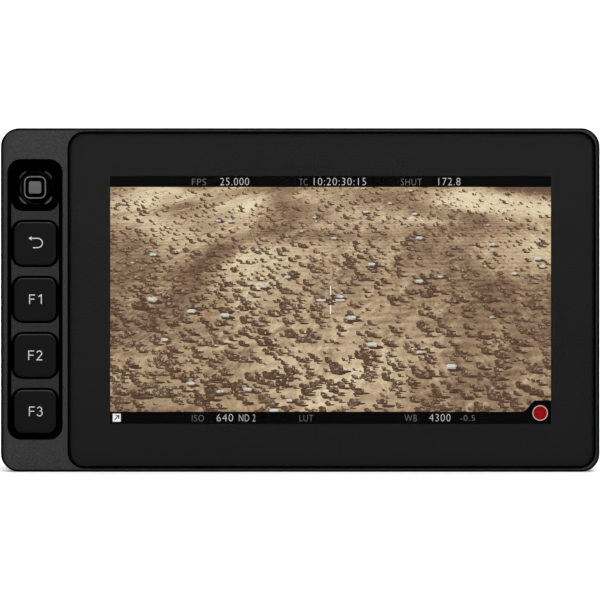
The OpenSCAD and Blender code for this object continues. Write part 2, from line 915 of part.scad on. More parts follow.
module sdi_insulators() {
    color([0.95, 0.95, 0.93])
        for (p = jack_places)
            difference() {
                rod_y(p[0], p[1], 1.95, board_back + 1, back_y + jack_l - 3);
                rod_y(p[0], p[1], 0.6, board_back, back_y + jack_l);
            }
}

module sdi_contacts() {
    color(gold_c)
        for (p = jack_places)
            rod_y(p[0], p[1], 0.55, board_back + 1, back_y + jack_l - 3.3);
}

module sdi_nuts() {
    color(metal_c)
        for (p = jack_places)
            difference() {
                translate([p[0], back_y + nut_t, p[1]])
                    rotate([90, 0, 0])
                        cylinder(r = nut_r, h = nut_t, $fn = 6);
                rod_y(p[0], p[1], jack_r + fit, back_y - over, back_y + nut_t + over);
            }
}

front_frame();
rear_cover();
housing_seal();
housing_screws();
cover_glass();
glass_seal();
lcd_panel();
backlight_unit();
display_flex();
chassis_plate();
chassis_screws();
board_standoffs();
board_screws();
main_board();
board_chips();
thermal_pad();
key_board();
key_board_screws();
key_switches();
key_flex();
key(key_z(3));  // back_key
key(key_z(2));  // f1_key
key(key_z(1));  // f2_key
key(key_z(0));  // f3_key
plunger(key_z(3));  // back_plunger
plunger(key_z(2));  // f1_plunger
plunger(key_z(1));  // f2_plunger
plunger(key_z(0));  // f3_plunger
joystick_bezel();
joystick_base();
joystick_gimbal();
joystick_stem();
joystick_cap();
power_button();
power_switch();
thread_insert(0);  // bottom_thread_insert
thread_insert(body_h - insert_l);  // top_thread_insert
hdmi_socket();
hdmi_tongue();
usb_socket();
usb_tongue();
headphone_jack();
dc_socket();
dc_pin();
card_socket();
bayonet_jack(jack_places[0]);  // sdi_in_jack
bayonet_jack(jack_places[1]);  // sdi_out_jack
sdi_insulators();
sdi_contacts();
sdi_nuts();
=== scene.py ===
"""Camera field monitor: finishes, lit screen, legends and small metal parts."""

import math
from random import Random

import bmesh
import bpy
from mathutils import Matrix, Vector


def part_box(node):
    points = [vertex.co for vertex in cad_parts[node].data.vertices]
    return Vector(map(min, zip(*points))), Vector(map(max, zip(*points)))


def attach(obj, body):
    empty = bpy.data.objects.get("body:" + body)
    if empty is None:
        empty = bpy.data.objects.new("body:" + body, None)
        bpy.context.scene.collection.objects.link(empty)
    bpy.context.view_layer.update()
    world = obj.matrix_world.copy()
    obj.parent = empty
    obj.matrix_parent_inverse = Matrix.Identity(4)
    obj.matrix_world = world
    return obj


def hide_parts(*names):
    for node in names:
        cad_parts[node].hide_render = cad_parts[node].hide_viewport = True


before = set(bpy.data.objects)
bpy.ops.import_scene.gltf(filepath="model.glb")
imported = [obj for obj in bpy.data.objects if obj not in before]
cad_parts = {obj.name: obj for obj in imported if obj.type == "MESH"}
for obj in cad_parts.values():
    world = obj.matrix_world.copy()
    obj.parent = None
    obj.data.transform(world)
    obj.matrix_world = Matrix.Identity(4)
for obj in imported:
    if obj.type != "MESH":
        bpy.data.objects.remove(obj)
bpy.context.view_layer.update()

MM = 0.001
HOUSING = "housing"

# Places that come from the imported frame
frame_low, frame_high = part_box("front_frame")
glass_low, glass_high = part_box("cover_glass")
panel_low, panel_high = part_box("lcd_panel")
stick_low, stick_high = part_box("joystick_cap")
FACE_Y = frame_low.y
STICK_Y = stick_low.y
COLLAR_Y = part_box("joystick_bezel")[0].y
KEY_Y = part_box("back_key")[0].y
KEY_X = (stick_low.x + stick_high.x) / 2
STICK_Z = (stick_low.z + stick_high.z) / 2

# The lit part of the panel, with a readout bar over and under the picture
LIT_W = 110.7 * MM
LIT_H = 62.2 * MM
LIT_X = (panel_low.x + panel_high.x) / 2
LIT_Z = (panel_low.z + panel_high.z) / 2
LIT_LEFT = LIT_X - LIT_W / 2
LIT_RIGHT = LIT_X + LIT_W / 2
LIT_LOW = LIT_Z - LIT_H / 2
LIT_TOP = LIT_Z + LIT_H / 2
TOP_BAR_H = 2.72 * MM
LOW_BAR_H = 3.03 * MM
PICTURE_LOW = LIT_LOW + LOW_BAR_H
PICTURE_TOP = LIT_TOP - TOP_BAR_H
PICTURE_Y = panel_low.y - 0.01 * MM
READOUT_Y = panel_low.y - 0.07 * MM

# The plain in the picture: its horizon, and the drop below it at which things have full size
HORIZON_Z = LIT_LOW + 83 * MM
NEAR = 80 * MM

# A coat of paint or ink, and the share of light that coated glass reflects square on
LAYER = 0.004 * MM
COATED_GLASS = 0.0043

# What is left of the display's surface where it isn't lit
UNLIT = (0.002, 0.002, 0.002)


class Finish:
    """A material whose nodes are added one by one, placed by the object's own coordinates."""

    def __init__(self, name, base, roughness, metallic=0.0, specular=0.5):
        self.material = bpy.data.materials.new(name)
        self.material.use_nodes = True
        self.tree = self.material.node_tree
        self.shader = self.tree.nodes["Principled BSDF"]
        self.set("Base Color", (*base, 1))
        self.set("Roughness", roughness)
        self.set("Metallic", metallic)
        self.set("Specular IOR Level", specular)
        self.place = self.node("ShaderNodeTexCoord").outputs["Object"]

    def node(self, kind, settings=None, **inputs):
        made = self.tree.nodes.new(kind)
        for key, value in (settings or {}).items():
            setattr(made, key, value)
        for key, value in inputs.items():
            self.feed(made.inputs[key.replace("_", " ")], value)
        return made

    def feed(self, socket, value):
        if isinstance(value, bpy.types.NodeSocket):
            self.tree.links.new(value, socket)
        else:
            socket.default_value = value

    def set(self, socket, value):
        self.feed(self.shader.inputs[socket], value)

    def math(self, operation, a, b=0.0, clamp=False):
        made = self.node("ShaderNodeMath", {"operation": operation, "use_clamp": clamp})
        self.feed(made.inputs[0], a)
        self.feed(made.inputs[1], b)
        return made.outputs[0]

    def axes(self):
        split = self.node("ShaderNodeSeparateXYZ", Vector=self.place)
        return split.outputs["X"], split.outputs["Y"], split.outputs["Z"]

    def noise(self, scale, detail=3.0, roughness=0.5, vector=None, distortion=0.0):
        made = self.node(
            "ShaderNodeTexNoise",
            Vector=vector or self.place,
            Scale=scale,
            Detail=detail,
            Roughness=roughness,
            Distortion=distortion,
        )
        return made.outputs["Fac"]

    def ramp(self, value, stops):
        """A colour ramp from (position, colour) pairs."""
        made = self.node("ShaderNodeValToRGB", Fac=value)
        ramp = made.color_ramp
        while len(ramp.elements) < len(stops):
            ramp.elements.new(0.5)
        for element, (position, colour) in zip(ramp.elements, stops, strict=True):
            element.position = position
            element.color = (*colour, 1)
        return made.outputs["Color"]

    def spread(self, value, low, high, low_out, high_out):
        made = self.node("ShaderNodeMapRange")
        self.feed(made.inputs["Value"], value)
        self.feed(made.inputs["From Min"], low)
        self.feed(made.inputs["From Max"], high)
        self.feed(made.inputs["To Min"], low_out)
        self.feed(made.inputs["To Max"], high_out)
        return made.outputs["Result"]

    def mix(self, factor, a, b):
        made = self.node("ShaderNodeMix", {"data_type": "RGBA"})
        self.feed(made.inputs["Factor"], factor)
        self.feed(made.inputs["A"], a if isinstance(a, bpy.types.NodeSocket) else (*a, 1))
        self.feed(made.inputs["B"], b if isinstance(b, bpy.types.NodeSocket) else (*b, 1))
        return made.outputs["Result"]

    def within(self, value, low, high):
        above = self.math("GREATER_THAN", value, low)
        below = self.math("LESS_THAN", value, high)
        return self.math("MULTIPLY", above, below)

    def outline(self, x, z, middle, size, radius):
        """Distance to a rounded rectangle in X and Z: negative inside it."""
        reach = []
        for value, centre, length in zip((x, z), middle, size, strict=True):
            away = self.math("ABSOLUTE", self.math("SUBTRACT", value, centre))
            reach.append(self.math("SUBTRACT", away, length / 2 - radius))
        out = [self.math("MAXIMUM", value, 0.0) for value in reach]
        square = [self.math("MULTIPLY", value, value) for value in out]
        corner = self.math("SQRT", self.math("ADD", *square))
        side = self.math("MINIMUM", self.math("MAXIMUM", *reach), 0.0)
        return self.math("SUBTRACT", self.math("ADD", corner, side), radius)

    def bump(self, height, distance, strength=1.0):
        made = self.node("ShaderNodeBump", Height=height, Distance=distance, Strength=strength)
        self.set("Normal", made.outputs["Normal"])


def grey(level):
    """The linear value of a grey that shows as level out of 255."""
    share = level / 255
    return share / 12.92 if share <= 0.04045 else ((share + 0.055) / 1.055) ** 2.4


def tint(red, green, blue):
    return grey(red), grey(green), grey(blue)


# Finishes


def powder_coat(name, recess=False):
    """Fine textured coat. On the front frame shade is painted: the cut edges and the key channel
    are painted black, the bars darker, and the face darker towards its sides and rim.
    """
    finish = Finish(name, (grey(62),) * 3, 0.5, specular=0.35)
    grain = finish.noise(2600, 4, 0.65)
    pebbles = finish.noise(1500, 2, 0.5)
    patches = finish.noise(60, 3, 0.6)
    coat = finish.mix(finish.spread(grain, 0.34, 0.66, 0, 1), (grey(28),) * 3, (grey(61),) * 3)
    coat = finish.mix(finish.spread(patches, 0.35, 0.65, 0, 0.35), coat, (grey(52),) * 3)
    if recess:
        # The black is painted shade, for the cut edges, the key channel and the face's sides and
        # rim.
        black, corner = (0.0005,) * 3, 4.6 * MM
        face, edge_end = FACE_Y + 0.005 * MM, FACE_Y + 0.447 * MM
        bar_front, bar_back = FACE_Y + 0.448 * MM, FACE_Y + 0.46 * MM
        x, y, z = finish.axes()
        # Painted shade: the cut edges and everything in the key channel behind the bars are painted
        # black.
        edge = finish.within(y, face, edge_end)
        middle = ((frame_low.x + frame_high.x) / 2, (frame_low.z + frame_high.z) / 2)
        size = (frame_high.x - frame_low.x, frame_high.z - frame_low.z)
        from_rim = finish.outline(x, z, middle, size, corner)
        inner = finish.math("LESS_THAN", from_rim, -0.2 * MM)
        inner = finish.math("MULTIPLY", inner, finish.math("GREATER_THAN", y, bar_back))
        painted_black_shade = finish.math("MAXIMUM", edge, inner)
        # Painted shade: the bars in the recess are darkened.
        bars = finish.within(y, bar_front, bar_back)
        coat = finish.mix(finish.math("MULTIPLY", bars, 0.35), coat, (0, 0, 0))
        # Painted shade: the face darkens towards its two sides and along its rim
        from_side = finish.math("ABSOLUTE", finish.math("SUBTRACT", x, middle[0]))
        side_start, side_end = frame_high.x - 1.9 * MM, frame_high.x - 0.8 * MM
        painted_shade = finish.spread(from_side, side_start, side_end, 0, 0.4)
        rim = finish.spread(from_rim, -0.76 * MM, -0.62 * MM, 0, 0.54)
        painted_shade = finish.math("ADD", painted_shade, rim)
        painted_shade = finish.math("MULTIPLY", painted_shade, finish.math("LESS_THAN", y, face))
        coat = finish.mix(painted_shade, coat, black)
        coat = finish.mix(painted_black_shade, coat, black)
        # The painted black shade also has no reflection: metallic with a black colour reflects
        # almost nothing.
        finish.set("Metallic", painted_black_shade)
    finish.set("Base Color", coat)
    rough = finish.spread(pebbles, 0.3, 0.7, 0.42, 0.62)
    if recess:
        rough = finish.math("MAXIMUM", rough, painted_black_shade)
    finish.set("Roughness", rough)
    height = finish.math("ADD", grain, finish.math("MULTIPLY", pebbles, 0.8))
    finish.bump(height, 0.06 * MM, 0.8)
    return finish.material


def key_rubber(name, edges=False):
    """Matt black rubber with a faint silk. Keys have smoother chamfers, painted lighter as a
    highlight, and sides painted black as shade, with no reflection.
    """
    finish = Finish(name, (grey(10),) * 3, 0.5, specular=0.25)
    grain = finish.noise(5200, 2)
    cloud = finish.noise(220, 3)
    colour = finish.mix(cloud, (grey(8),) * 3, (grey(12),) * 3)
    rough = finish.spread(grain, 0.3, 0.7, 0.44, 0.56)
    if edges:
        y = finish.axes()[1]
        smooth_chamfer_painted_highlight = finish.within(y, KEY_Y + 0.01 * MM, KEY_Y + 0.24 * MM)
        painted_side_shade = finish.math("GREATER_THAN", y, KEY_Y + 0.26 * MM)
        # Painted highlight: the chamfer is painted a lighter grey. Its lower roughness is real.
        colour = finish.mix(smooth_chamfer_painted_highlight, colour, (grey(25),) * 3)
        # Painted shade: the sides below the chamfer are near black, and metallic takes their
        # reflection away.
        colour = finish.mix(painted_side_shade, colour, (0.0006,) * 3)
        finish.set("Metallic", painted_side_shade)
        rough = finish.math("SUBTRACT", rough, finish.math("MULTIPLY", smooth_chamfer_painted_highlight, 0.15))
        rough = finish.math("MAXIMUM", rough, painted_side_shade)
    finish.set("Base Color", colour)
    finish.set("Roughness", rough)
    finish.bump(grain, 0.008 * MM, 0.5)
    return finish.material


def moulded(name, level, roughness=0.45, specular=0.5):
    """Moulded plastic with a fine spark-eroded grain."""
    finish = Finish(name, (grey(level),) * 3, roughness, specular=specular)
    grain = finish.noise(4200, 3)
    base = finish.mix(grain, (grey(level * 0.9),) * 3, (grey(level * 1.1),) * 3)
    finish.set("Base Color", base)
    finish.set("Roughness", finish.spread(grain, 0.3, 0.7, roughness - 0.07, roughness + 0.07))
    finish.bump(grain, 0.01 * MM, 0.5)
    return finish.material


def turned_metal(name, colour, roughness=0.25, axis="Y"):
    """Plated or bare metal with fine tool marks across an axis and faint stains."""
    finish = Finish(name, colour, roughness, metallic=1.0)
    marks = finish.node("ShaderNodeMapping", Vector=finish.place)
    stretch = {"X": (9000, 300, 300), "Y": (300, 9000, 300), "Z": (300, 300, 9000)}[axis]
    marks.inputs["Scale"].default_value = stretch
    lines = finish.noise(1, 2, vector=marks.outputs["Vector"])
    stains = finish.noise(260, 3)
    darker = tuple(c * 0.8 for c in colour)
    finish.set("Base Color", finish.mix(stains, darker, colour))
    finish.set("Roughness", finish.spread(lines, 0.3, 0.7, roughness - 0.06, roughness + 0.12))
    finish.bump(lines, 0.004 * MM, 0.35)
    return finish.material


def black_oxide():
    """Blackened screw steel, worn bright in random patches."""
    black = (0.03, 0.03, 0.032)
    finish = Finish("black_oxide", black, 0.35, metallic=0.9)
    wear = finish.noise(1800, 4, 0.7)
    stops = [(0.0, (0.02, 0.02, 0.022)), (0.55, black), (0.8, (0.1, 0.1, 0.1))]
    finish.set("Base Color", finish.ramp(wear, stops))
    finish.set("Roughness", finish.spread(wear, 0.3, 0.8, 0.4, 0.25))
    finish.bump(wear, 0.01 * MM, 0.4)
    return finish.material


def solder_mask():
    finish = Finish("solder_mask", (0.01, 0.06, 0.03), 0.3)
    weave = finish.noise(900, 2)
    finish.set("Roughness", finish.spread(weave, 0.3, 0.7, 0.25, 0.38))
    finish.set("Base Color", finish.mix(weave, (0.006, 0.045, 0.02), (0.015, 0.08, 0.04)))
    finish.bump(weave, 0.01 * MM, 0.4)
    return finish.material


def amber_film():
    finish = Finish("amber_film", (0.35, 0.14, 0.02), 0.3)
    cloud = finish.noise(500, 2)
    finish.set("Base Color", finish.mix(cloud, (0.28, 0.1, 0.015), (0.42, 0.19, 0.03)))
    finish.set("Roughness", finish.spread(cloud, 0.3, 0.7, 0.24, 0.38))
    finish.bump(cloud, 0.01 * MM, 0.3)
    return finish.material


def collar_plastic():
    """Black collar. Painted highlights light its four front corners in grey, with painted shade
    making them darker above. The rest is painted shade, black with no reflection.
    """
    finish = Finish("collar_plastic", (grey(4),) * 3, 0.45, specular=0.3)
    x, y, z = finish.axes()
    front = finish.math("LESS_THAN", y, COLLAR_Y + 0.05 * MM)
    away = [
        finish.math("ABSOLUTE", finish.math("SUBTRACT", value, centre))
        for value, centre in ((x, KEY_X), (z, STICK_Z))
    ]
    corner = finish.math("MINIMUM", *away)
    front = finish.math("MULTIPLY", front, finish.spread(corner, 2.0 * MM, 2.7 * MM, 0, 1))
    width, radius = 8.65 * MM, 2.8 * MM
    from_edge = finish.outline(x, z, (KEY_X, STICK_Z), (width, width), radius)
    # Painted highlight: worn is the mask of the light crescents at the four front corners.
    worn = finish.spread(from_edge, -0.58 * MM, -0.34 * MM, 0, 1)
    front = finish.math("MULTIPLY", front, worn)
    grain = finish.noise(3600, 3)
    painted_highlight_grey = finish.mix(grain, (grey(66),) * 3, (grey(84),) * 3)
    # Painted shade: the highlights are darker towards the top.
    upper = finish.spread(z, STICK_Z - 1.5 * MM, STICK_Z + 1.5 * MM, 0, 0.65)
    painted_highlight_grey = finish.mix(upper, painted_highlight_grey, (grey(24),) * 3)
    # Painted shade: all but the highlights is black, and metallic takes its reflection away.
    finish.set("Base Color", finish.mix(front, (0.0006,) * 3, painted_highlight_grey))
    finish.set("Metallic", finish.math("SUBTRACT", 1.0, front))
    finish.set("Roughness", finish.spread(grain, 0.3, 0.7, 0.4, 0.52))
    finish.bump(grain, 0.01 * MM, 0.5)
    return finish.material


def stick_cap_plastic():
    """Black cap whose rim and middle are light grey on their tops. The rest is painted shade, black
    with no reflection.
    """
    finish = Finish("stick_cap_plastic", (grey(8),) * 3, 0.4, specular=0.3)
    top = finish.math("LESS_THAN", finish.axes()[1], STICK_Y + 0.12 * MM)
    grain = finish.noise(3600, 3)
    light = finish.mix(grain, (grey(84),) * 3, (grey(98),) * 3)
    # Painted shade: all but the front tops is black, and metallic takes its reflection away.
    finish.set("Base Color", finish.mix(top, (0.0008,) * 3, light))
    finish.set("Metallic", finish.math("SUBTRACT", 1.0, top))
    finish.set("Roughness", finish.spread(grain, 0.3, 0.7, 0.36, 0.5))
    finish.bump(grain, 0.01 * MM, 0.5)
    return finish.material


def screen_glass():
    """Coated glass: clear front and back, blackened round its ground edges."""
    finish = Finish("screen_glass", (grey(18),) * 3, 0.22, specular=0.5)
    skin = 0.003 * MM
    ground = finish.within(finish.axes()[1], glass_low.y + skin, glass_high.y - skin)
    clear = finish.math("SUBTRACT", 1.0, ground)
    cloud = finish.noise(40, 2)
    finish.set("Roughness", finish.spread(cloud, 0.3, 0.7, 0.2, 0.24))
    finish.set("Base Color", finish.mix(cloud, (grey(17),) * 3, (grey(19),) * 3))
    nodes = finish.tree.nodes
    links = finish.tree.links
    through = nodes.new("ShaderNodeBsdfTransparent")
    body = nodes.new("ShaderNodeMixShader")
    links.new(clear, body.inputs[0])
    links.new(finish.shader.outputs[0], body.inputs[1])
    links.new(through.outputs[0], body.inputs[2])
    gloss = nodes.new("ShaderNodeBsdfAnisotropic")
    gloss.inputs["Roughness"].default_value = 0.06
    slant = finish.node("ShaderNodeLayerWeight", Blend=0.5).outputs["Facing"]
    sheen = finish.math("MULTIPLY", finish.math("POWER", slant, 5.0), 1 - COATED_GLASS)
    coated = nodes.new("ShaderNodeMixShader")
    links.new(finish.math("ADD", sheen, COATED_GLASS), coated.inputs[0])
    links.new(body.outputs[0], coated.inputs[1])
    links.new(gloss.outputs[0], coated.inputs[2])
    links.new(coated.outputs[0], nodes["Material Output"].inputs["Surface"])
    return finish.material


def border_print():
    """Dark ink on the back of the glass, with a little silk."""
    finish = Finish("border_print", (grey(18),) * 3, 0.22, specular=0.5)
    cloud = finish.noise(40, 2)
    finish.set("Base Color", finish.mix(cloud, (grey(17),) * 3, (grey(19),) * 3))
    finish.set("Roughness", finish.spread(cloud, 0.3, 0.7, 0.2, 0.24))
    return finish.material


def glowing(name, colour, strength=1.0):
    """A lit part of the display: its own colour, a little uneven, with almost no reflection."""
    finish = Finish(name, UNLIT, 0.6, specular=0.0)
    uneven = finish.noise(900, 2)
    dimmer, brighter = [c * 0.93 for c in colour], [c * 1.07 for c in colour]
    finish.set("Emission Color", finish.mix(uneven, dimmer, brighter))
    finish.set("Emission Strength", strength)
    finish.set("Roughness", finish.spread(uneven, 0.3, 0.7, 0.55, 0.65))
    finish.bump(uneven, 0.002 * MM, 0.3)
    return finish.material


def lit_picture():
    """A dry plain seen from a low hill. Its rises, ripples and grit shrink with distance."""
    finish = Finish("lit_picture", UNLIT, 0.6, specular=0.0)
    x, _, z = finish.axes()
    closeness = finish.math("DIVIDE", NEAR, finish.math("SUBTRACT", HORIZON_Z, z))
    across = finish.math("MULTIPLY", finish.math("SUBTRACT", x, LIT_X), closeness)
    away = finish.math("MULTIPLY", closeness, 90 * MM)
    ground = finish.node("ShaderNodeCombineXYZ", X=across, Y=away).outputs[0]
    sunward = finish.node("ShaderNodeMapping", Vector=ground)
    sunward.inputs["Location"].default_value = (0.0007, -0.0004, 0)
    broad = finish.noise(12, 2, 0.45, ground, 0.8)
    relief = finish.math(
        "SUBTRACT",
        finish.noise(75, 6, 0.55, ground, 0.5),
        finish.noise(75, 6, 0.55, sunward.outputs[0], 0.5),
    )
    grit = finish.noise(1500, 3, 0.7, ground)
    ripples = finish.node(
        "ShaderNodeTexWave",
        {"wave_type": "BANDS", "bands_direction": "Y", "wave_profile": "SIN"},
        Vector=ground,
        Scale=80,
        Distortion=3.5,
        Detail=3,
        Detail_Scale=1.6,
    ).outputs["Fac"]
    light = finish.math("MULTIPLY", finish.math("SUBTRACT", broad, 0.5), 1.5)
    light = finish.math("ADD", light, finish.math("MULTIPLY", relief, 2.0))
    light = finish.math("ADD", light, finish.math("MULTIPLY", ripples, 0.08))
    light = finish.math("ADD", light, finish.math("MULTIPLY", grit, 0.3))
    light = finish.math("ADD", light, 0.33)
    stops = [
        (0.22, tint(104, 80, 64)),
        (0.42, tint(150, 124, 98)),
        (0.58, tint(186, 162, 130)),
        (0.84, tint(230, 214, 180)),
    ]
    finish.set("Emission Color", finish.ramp(light, stops))
    finish.set("Emission Strength", 1.0)
    return finish.material


def scrub_tones():
    """Plants, stones and shadows, coloured by a value on the mesh that noise breaks up."""
    finish = Finish("scrub_tones", UNLIT, 0.6, specular=0.0)
    tone = finish.node("ShaderNodeAttribute", {"attribute_name": "tone"}).outputs["Fac"]
    leaves = finish.math("MULTIPLY", finish.math("SUBTRACT", finish.noise(2400, 2), 0.5), 0.9)
    clumps = finish.math("MULTIPLY", finish.math("SUBTRACT", finish.noise(130, 2), 0.5), 0.5)
    tone = finish.math("ADD", tone, finish.math("ADD", leaves, clumps))
    stops = [
        (0.0, tint(78, 56, 44)),
        (0.3, tint(96, 72, 56)),
        (0.5, tint(122, 100, 76)),
        (0.72, tint(170, 162, 144)),
        (1.0, tint(208, 214, 208)),
    ]
    finish.set("Emission Color", finish.ramp(tone, stops))
    finish.set("Emission Strength", 1.0)
    return finish.material


def legend_paint():
    finish = Finish("legend_paint", (grey(206),) * 3, 0.5)
    worn = finish.noise(2600, 4, 0.7)
    finish.set("Base Color", finish.ramp(worn, [(0.2, (grey(176),) * 3), (0.5, (grey(206),) * 3)]))
    finish.set("Roughness", finish.spread(worn, 0.3, 0.7, 0.42, 0.58))
    finish.bump(worn, 0.004 * MM, 0.4)
    return finish.material


# Mesh helpers


def piece(name, mesh, material, body=HOUSING):
    """Puts a finished mesh into the scene, riding on a body."""
    made = bpy.data.objects.new(name, mesh)
    bpy.context.scene.collection.objects.link(made)
    mesh.materials.clear()
    mesh.materials.append(material)
    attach(made, body)
    return made


def ribbon(bm, points, width, y, closed=False):
    """Adds a flat line of even width through points in X and Z, mitred at its corners."""
    count = len(points)
    rows = []
    for i, point in enumerate(points):
        before = points[i - 1] if i or closed else None
        after = points[(i + 1) % count] if i < count - 1 or closed else None
        ways = []
        if before is not None:
            ways.append((Vector(point) - Vector(before)).normalized())
        if after is not None:
            ways.append((Vector(after) - Vector(point)).normalized())
        side = sum((Vector((-w.y, w.x)) for w in ways), Vector((0, 0))).normalized()
        reach = width / 2 / max(0.35, side.dot(Vector((-ways[0].y, ways[0].x))))
        rows.append(
            [
                bm.verts.new((point[0] + s * reach * side.x, y, point[1] + s * reach * side.y))
                for s in (-1, 1)
            ]
        )
    last = count if closed else count - 1
    for i in range(last):
        a, b = rows[i], rows[(i + 1) % count]
        bm.faces.new((a[0], b[0], b[1], a[1]))


def flat_face(bm, points, y):
    """Adds one flat face in X and Z."""
    bm.faces.new([bm.verts.new((p[0], y, p[1])) for p in points])


def facing_front(bm):
    """Turns every flat face towards the viewer."""
    bm.normal_update()
    for face in bm.faces:
        if face.normal.y > 0:
            face.normal_flip()


def finished(bm, name):
    mesh = bpy.data.meshes.new(name)
    bm.to_mesh(mesh)
    bm.free()
    return mesh


def arc(centre, radius, start, end, steps=14):
    """Points along an arc, with angles in degrees."""
    turn = [math.radians(start + (end - start) * i / steps) for i in range(steps + 1)]
    return [(centre[0] + radius * math.cos(a), centre[1] + radius * math.sin(a)) for a in turn]


# Legends on the keys


def letter_f(x, z, height):
    width = 0.6 * height
    stem = [(x, z), (x, z + height), (x + width, z + height)]
    return [stem, [(x, z + 0.53 * height), (x + 0.9 * width, z + 0.53 * height)]]


def digit_one(x, z, height):
    flag = [(x, z + 0.8 * height), (x + 0.33 * height, z + height), (x + 0.33 * height, z)]
    return [flag]


def digit_two(x, z, height):
    radius = 0.27 * height
    centre = (x + radius, z + height - radius)
    top = arc(centre, radius, 165, -38)
    return [[*top, (x, z), (x + 0.6 * height, z)]]


def digit_three(x, z, height):
    upper, lower = 0.24 * height, 0.29 * height
    top = arc((x + lower, z + height - upper), upper, 165, -90)
    bottom = arc((x + lower, z + lower), lower, 90, -165)
    return [top, bottom]


def return_arrow(centre_x, centre_z):
    """A shaft that turns back under itself, with a filled head at its left end."""
    bend = 1.17 * MM
    right = centre_x + 0.68 * MM
    top, low = centre_z + bend, centre_z - bend
    line = [(centre_x - 1.0 * MM, top), (right, top)]
    line += arc((right, centre_z), bend, 90, -90)[1:]
    line += [(centre_x - 0.5 * MM, low)]
    tip, base = centre_x - 1.62 * MM, centre_x - 0.85 * MM
    return line, [(tip, top), (base, top + 0.5 * MM), (base, top - 0.5 * MM)]


def key_legends(paint):
    """Each key's legend is a thin layer of paint that moves with its key."""
    stroke = 0.22 * MM
    height = 2.25 * MM
    # The digit, its gap from the letter as a share of the height, and the letter's left end
    legends = {
        "f1_key": (digit_one, 0.37, -1.35 * MM),
        "f2_key": (digit_two, 0.31, -1.57 * MM),
        "f3_key": (digit_three, 0.24, -1.4 * MM),
    }
    for node, (digit, gap, start) in legends.items():
        low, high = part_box(node)
        foot = (low.z + high.z) / 2 - height / 2
        left = KEY_X + start
        bm = bmesh.new()
        for line in letter_f(left, foot, height):
            ribbon(bm, line, stroke, low.y - LAYER)
        for line in digit(left + (0.6 + gap) * height, foot, height):
            ribbon(bm, line, stroke, low.y - LAYER)
        facing_front(bm)
        piece(f"{node}_legend", finished(bm, node), paint, f"{node}_body")
    low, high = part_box("back_key")
    line, head = return_arrow(KEY_X, (low.z + high.z) / 2 + 0.1 * MM)
    bm = bmesh.new()
    ribbon(bm, line, stroke, low.y - LAYER)
    flat_face(bm, head, low.y - LAYER)
    facing_front(bm)
    piece("back_key_legend", finished(bm, "back_key"), paint, "back_key_body")


def power_mark(paint):
    """An open ring with a stroke, printed on the button in the top wall."""
    low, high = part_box("power_button")
    stroke = 0.26 * MM
    bm = bmesh.new()
    ribbon(bm, arc((0, 0), 0.95 * MM, 122, 418, 30), stroke, 0)
    ribbon(bm, [(0, 0.25 * MM), (0, 1.25 * MM)], stroke, 0)
    facing_front(bm)
    mesh = finished(bm, "power_mark")
    place = Matrix.Translation(((low.x + high.x) / 2, (low.y + high.y) / 2, high.z + LAYER))
    mesh.transform(place @ Matrix.Rotation(-math.pi / 2, 4, "X"))
    piece("power_mark", mesh, paint, "power_button_body")


# The lit screen


def screen_piece(name, bm, material):
    """Ends a flat piece of the display."""
    facing_front(bm)
    piece(name, finished(bm, name), material)


def printed_border(material):
    """The layer of ink on the back of the glass, with a window over the lit part."""
    radius, y = 3.75 * MM, glass_high.y - LAYER
    inset = 0.05 * MM
    left, right = glass_low.x + inset + radius, glass_high.x - inset - radius
    low, top = glass_low.z + inset + radius, glass_high.z - inset - radius
    bm = bmesh.new()
    corners = []
    for centre, start, window in (
        ((right, top), 0, (LIT_RIGHT + inset, LIT_TOP + inset)),
        ((left, top), 90, (LIT_LEFT - inset, LIT_TOP + inset)),
        ((left, low), 180, (LIT_LEFT - inset, LIT_LOW - inset)),
        ((right, low), 270, (LIT_RIGHT + inset, LIT_LOW - inset)),
    ):
        quarter = arc(centre, radius, start, start + 90, 10)
        round_edge = [bm.verts.new((p[0], y, p[1])) for p in quarter]
        inner = bm.verts.new((window[0], y, window[1]))
        for a, b in zip(round_edge, round_edge[1:], strict=False):
            bm.faces.new((inner, a, b))
        corners.append((inner, round_edge))
    for i, (inner, round_edge) in enumerate(corners):
        next_inner, next_edge = corners[(i + 1) % 4]
        bm.faces.new((inner, round_edge[-1], next_edge[0], next_inner))
    screen_piece("glass_border", bm, material)


def picture_sheet(material):
    """The picture between the two readout bars."""
    bm = bmesh.new()
    low, top = PICTURE_LOW, PICTURE_TOP
    flat_face(bm, [(LIT_LEFT, low), (LIT_RIGHT, low), (LIT_RIGHT, top), (LIT_LEFT, top)], PICTURE_Y)
    screen_piece("screen_picture", bm, material)


def scrub_shape(name, seed, stone=False):
    """A flat plant or stone with its shadow, one millimetre high, with a tone on every point."""
    random = Random(seed)
    bm = bmesh.new()
    tone = bm.verts.layers.float.new("tone")

    def blob(cx, cz, rx, rz, level, depth, points=9):
        ring = []
        for i in range(points):
            angle = math.tau * i / points
            rough = random.uniform(0.72, 1.15)
            vert_x, vert_z = cx + rx * rough * math.cos(angle), cz + rz * rough * math.sin(angle)
            vert = bm.verts.new((vert_x, depth, vert_z))
            vert[tone] = level
            ring.append(vert)
        bm.faces.new(ring)

    lift = 0.002
    if stone:
        blob(0.35, -0.12, 0.7, 0.16, 0.0, 0.0)
        blob(0, 0.08, 0.55, 0.2, 0.75, -lift, 7)
        blob(0.05, 0.13, 0.42, 0.12, 1.0, -2 * lift, 6)
    else:
        blob(0.55, -0.12, 0.95, 0.16, 0.0, 0.0)
        for _ in range(5):
            x, z = random.uniform(-0.35, 0.35), random.uniform(0.1, 0.45)
            blob(x, z, 0.34, 0.3, 0.3, -lift, 7)
        for _ in range(4):
            x, z = random.uniform(-0.1, 0.4), random.uniform(0.3, 0.65)
            blob(x, z, 0.17, 0.13, 0.55, -2 * lift, 6)
    facing_front(bm)
    return bpy.data.objects.new(name, finished(bm, name))


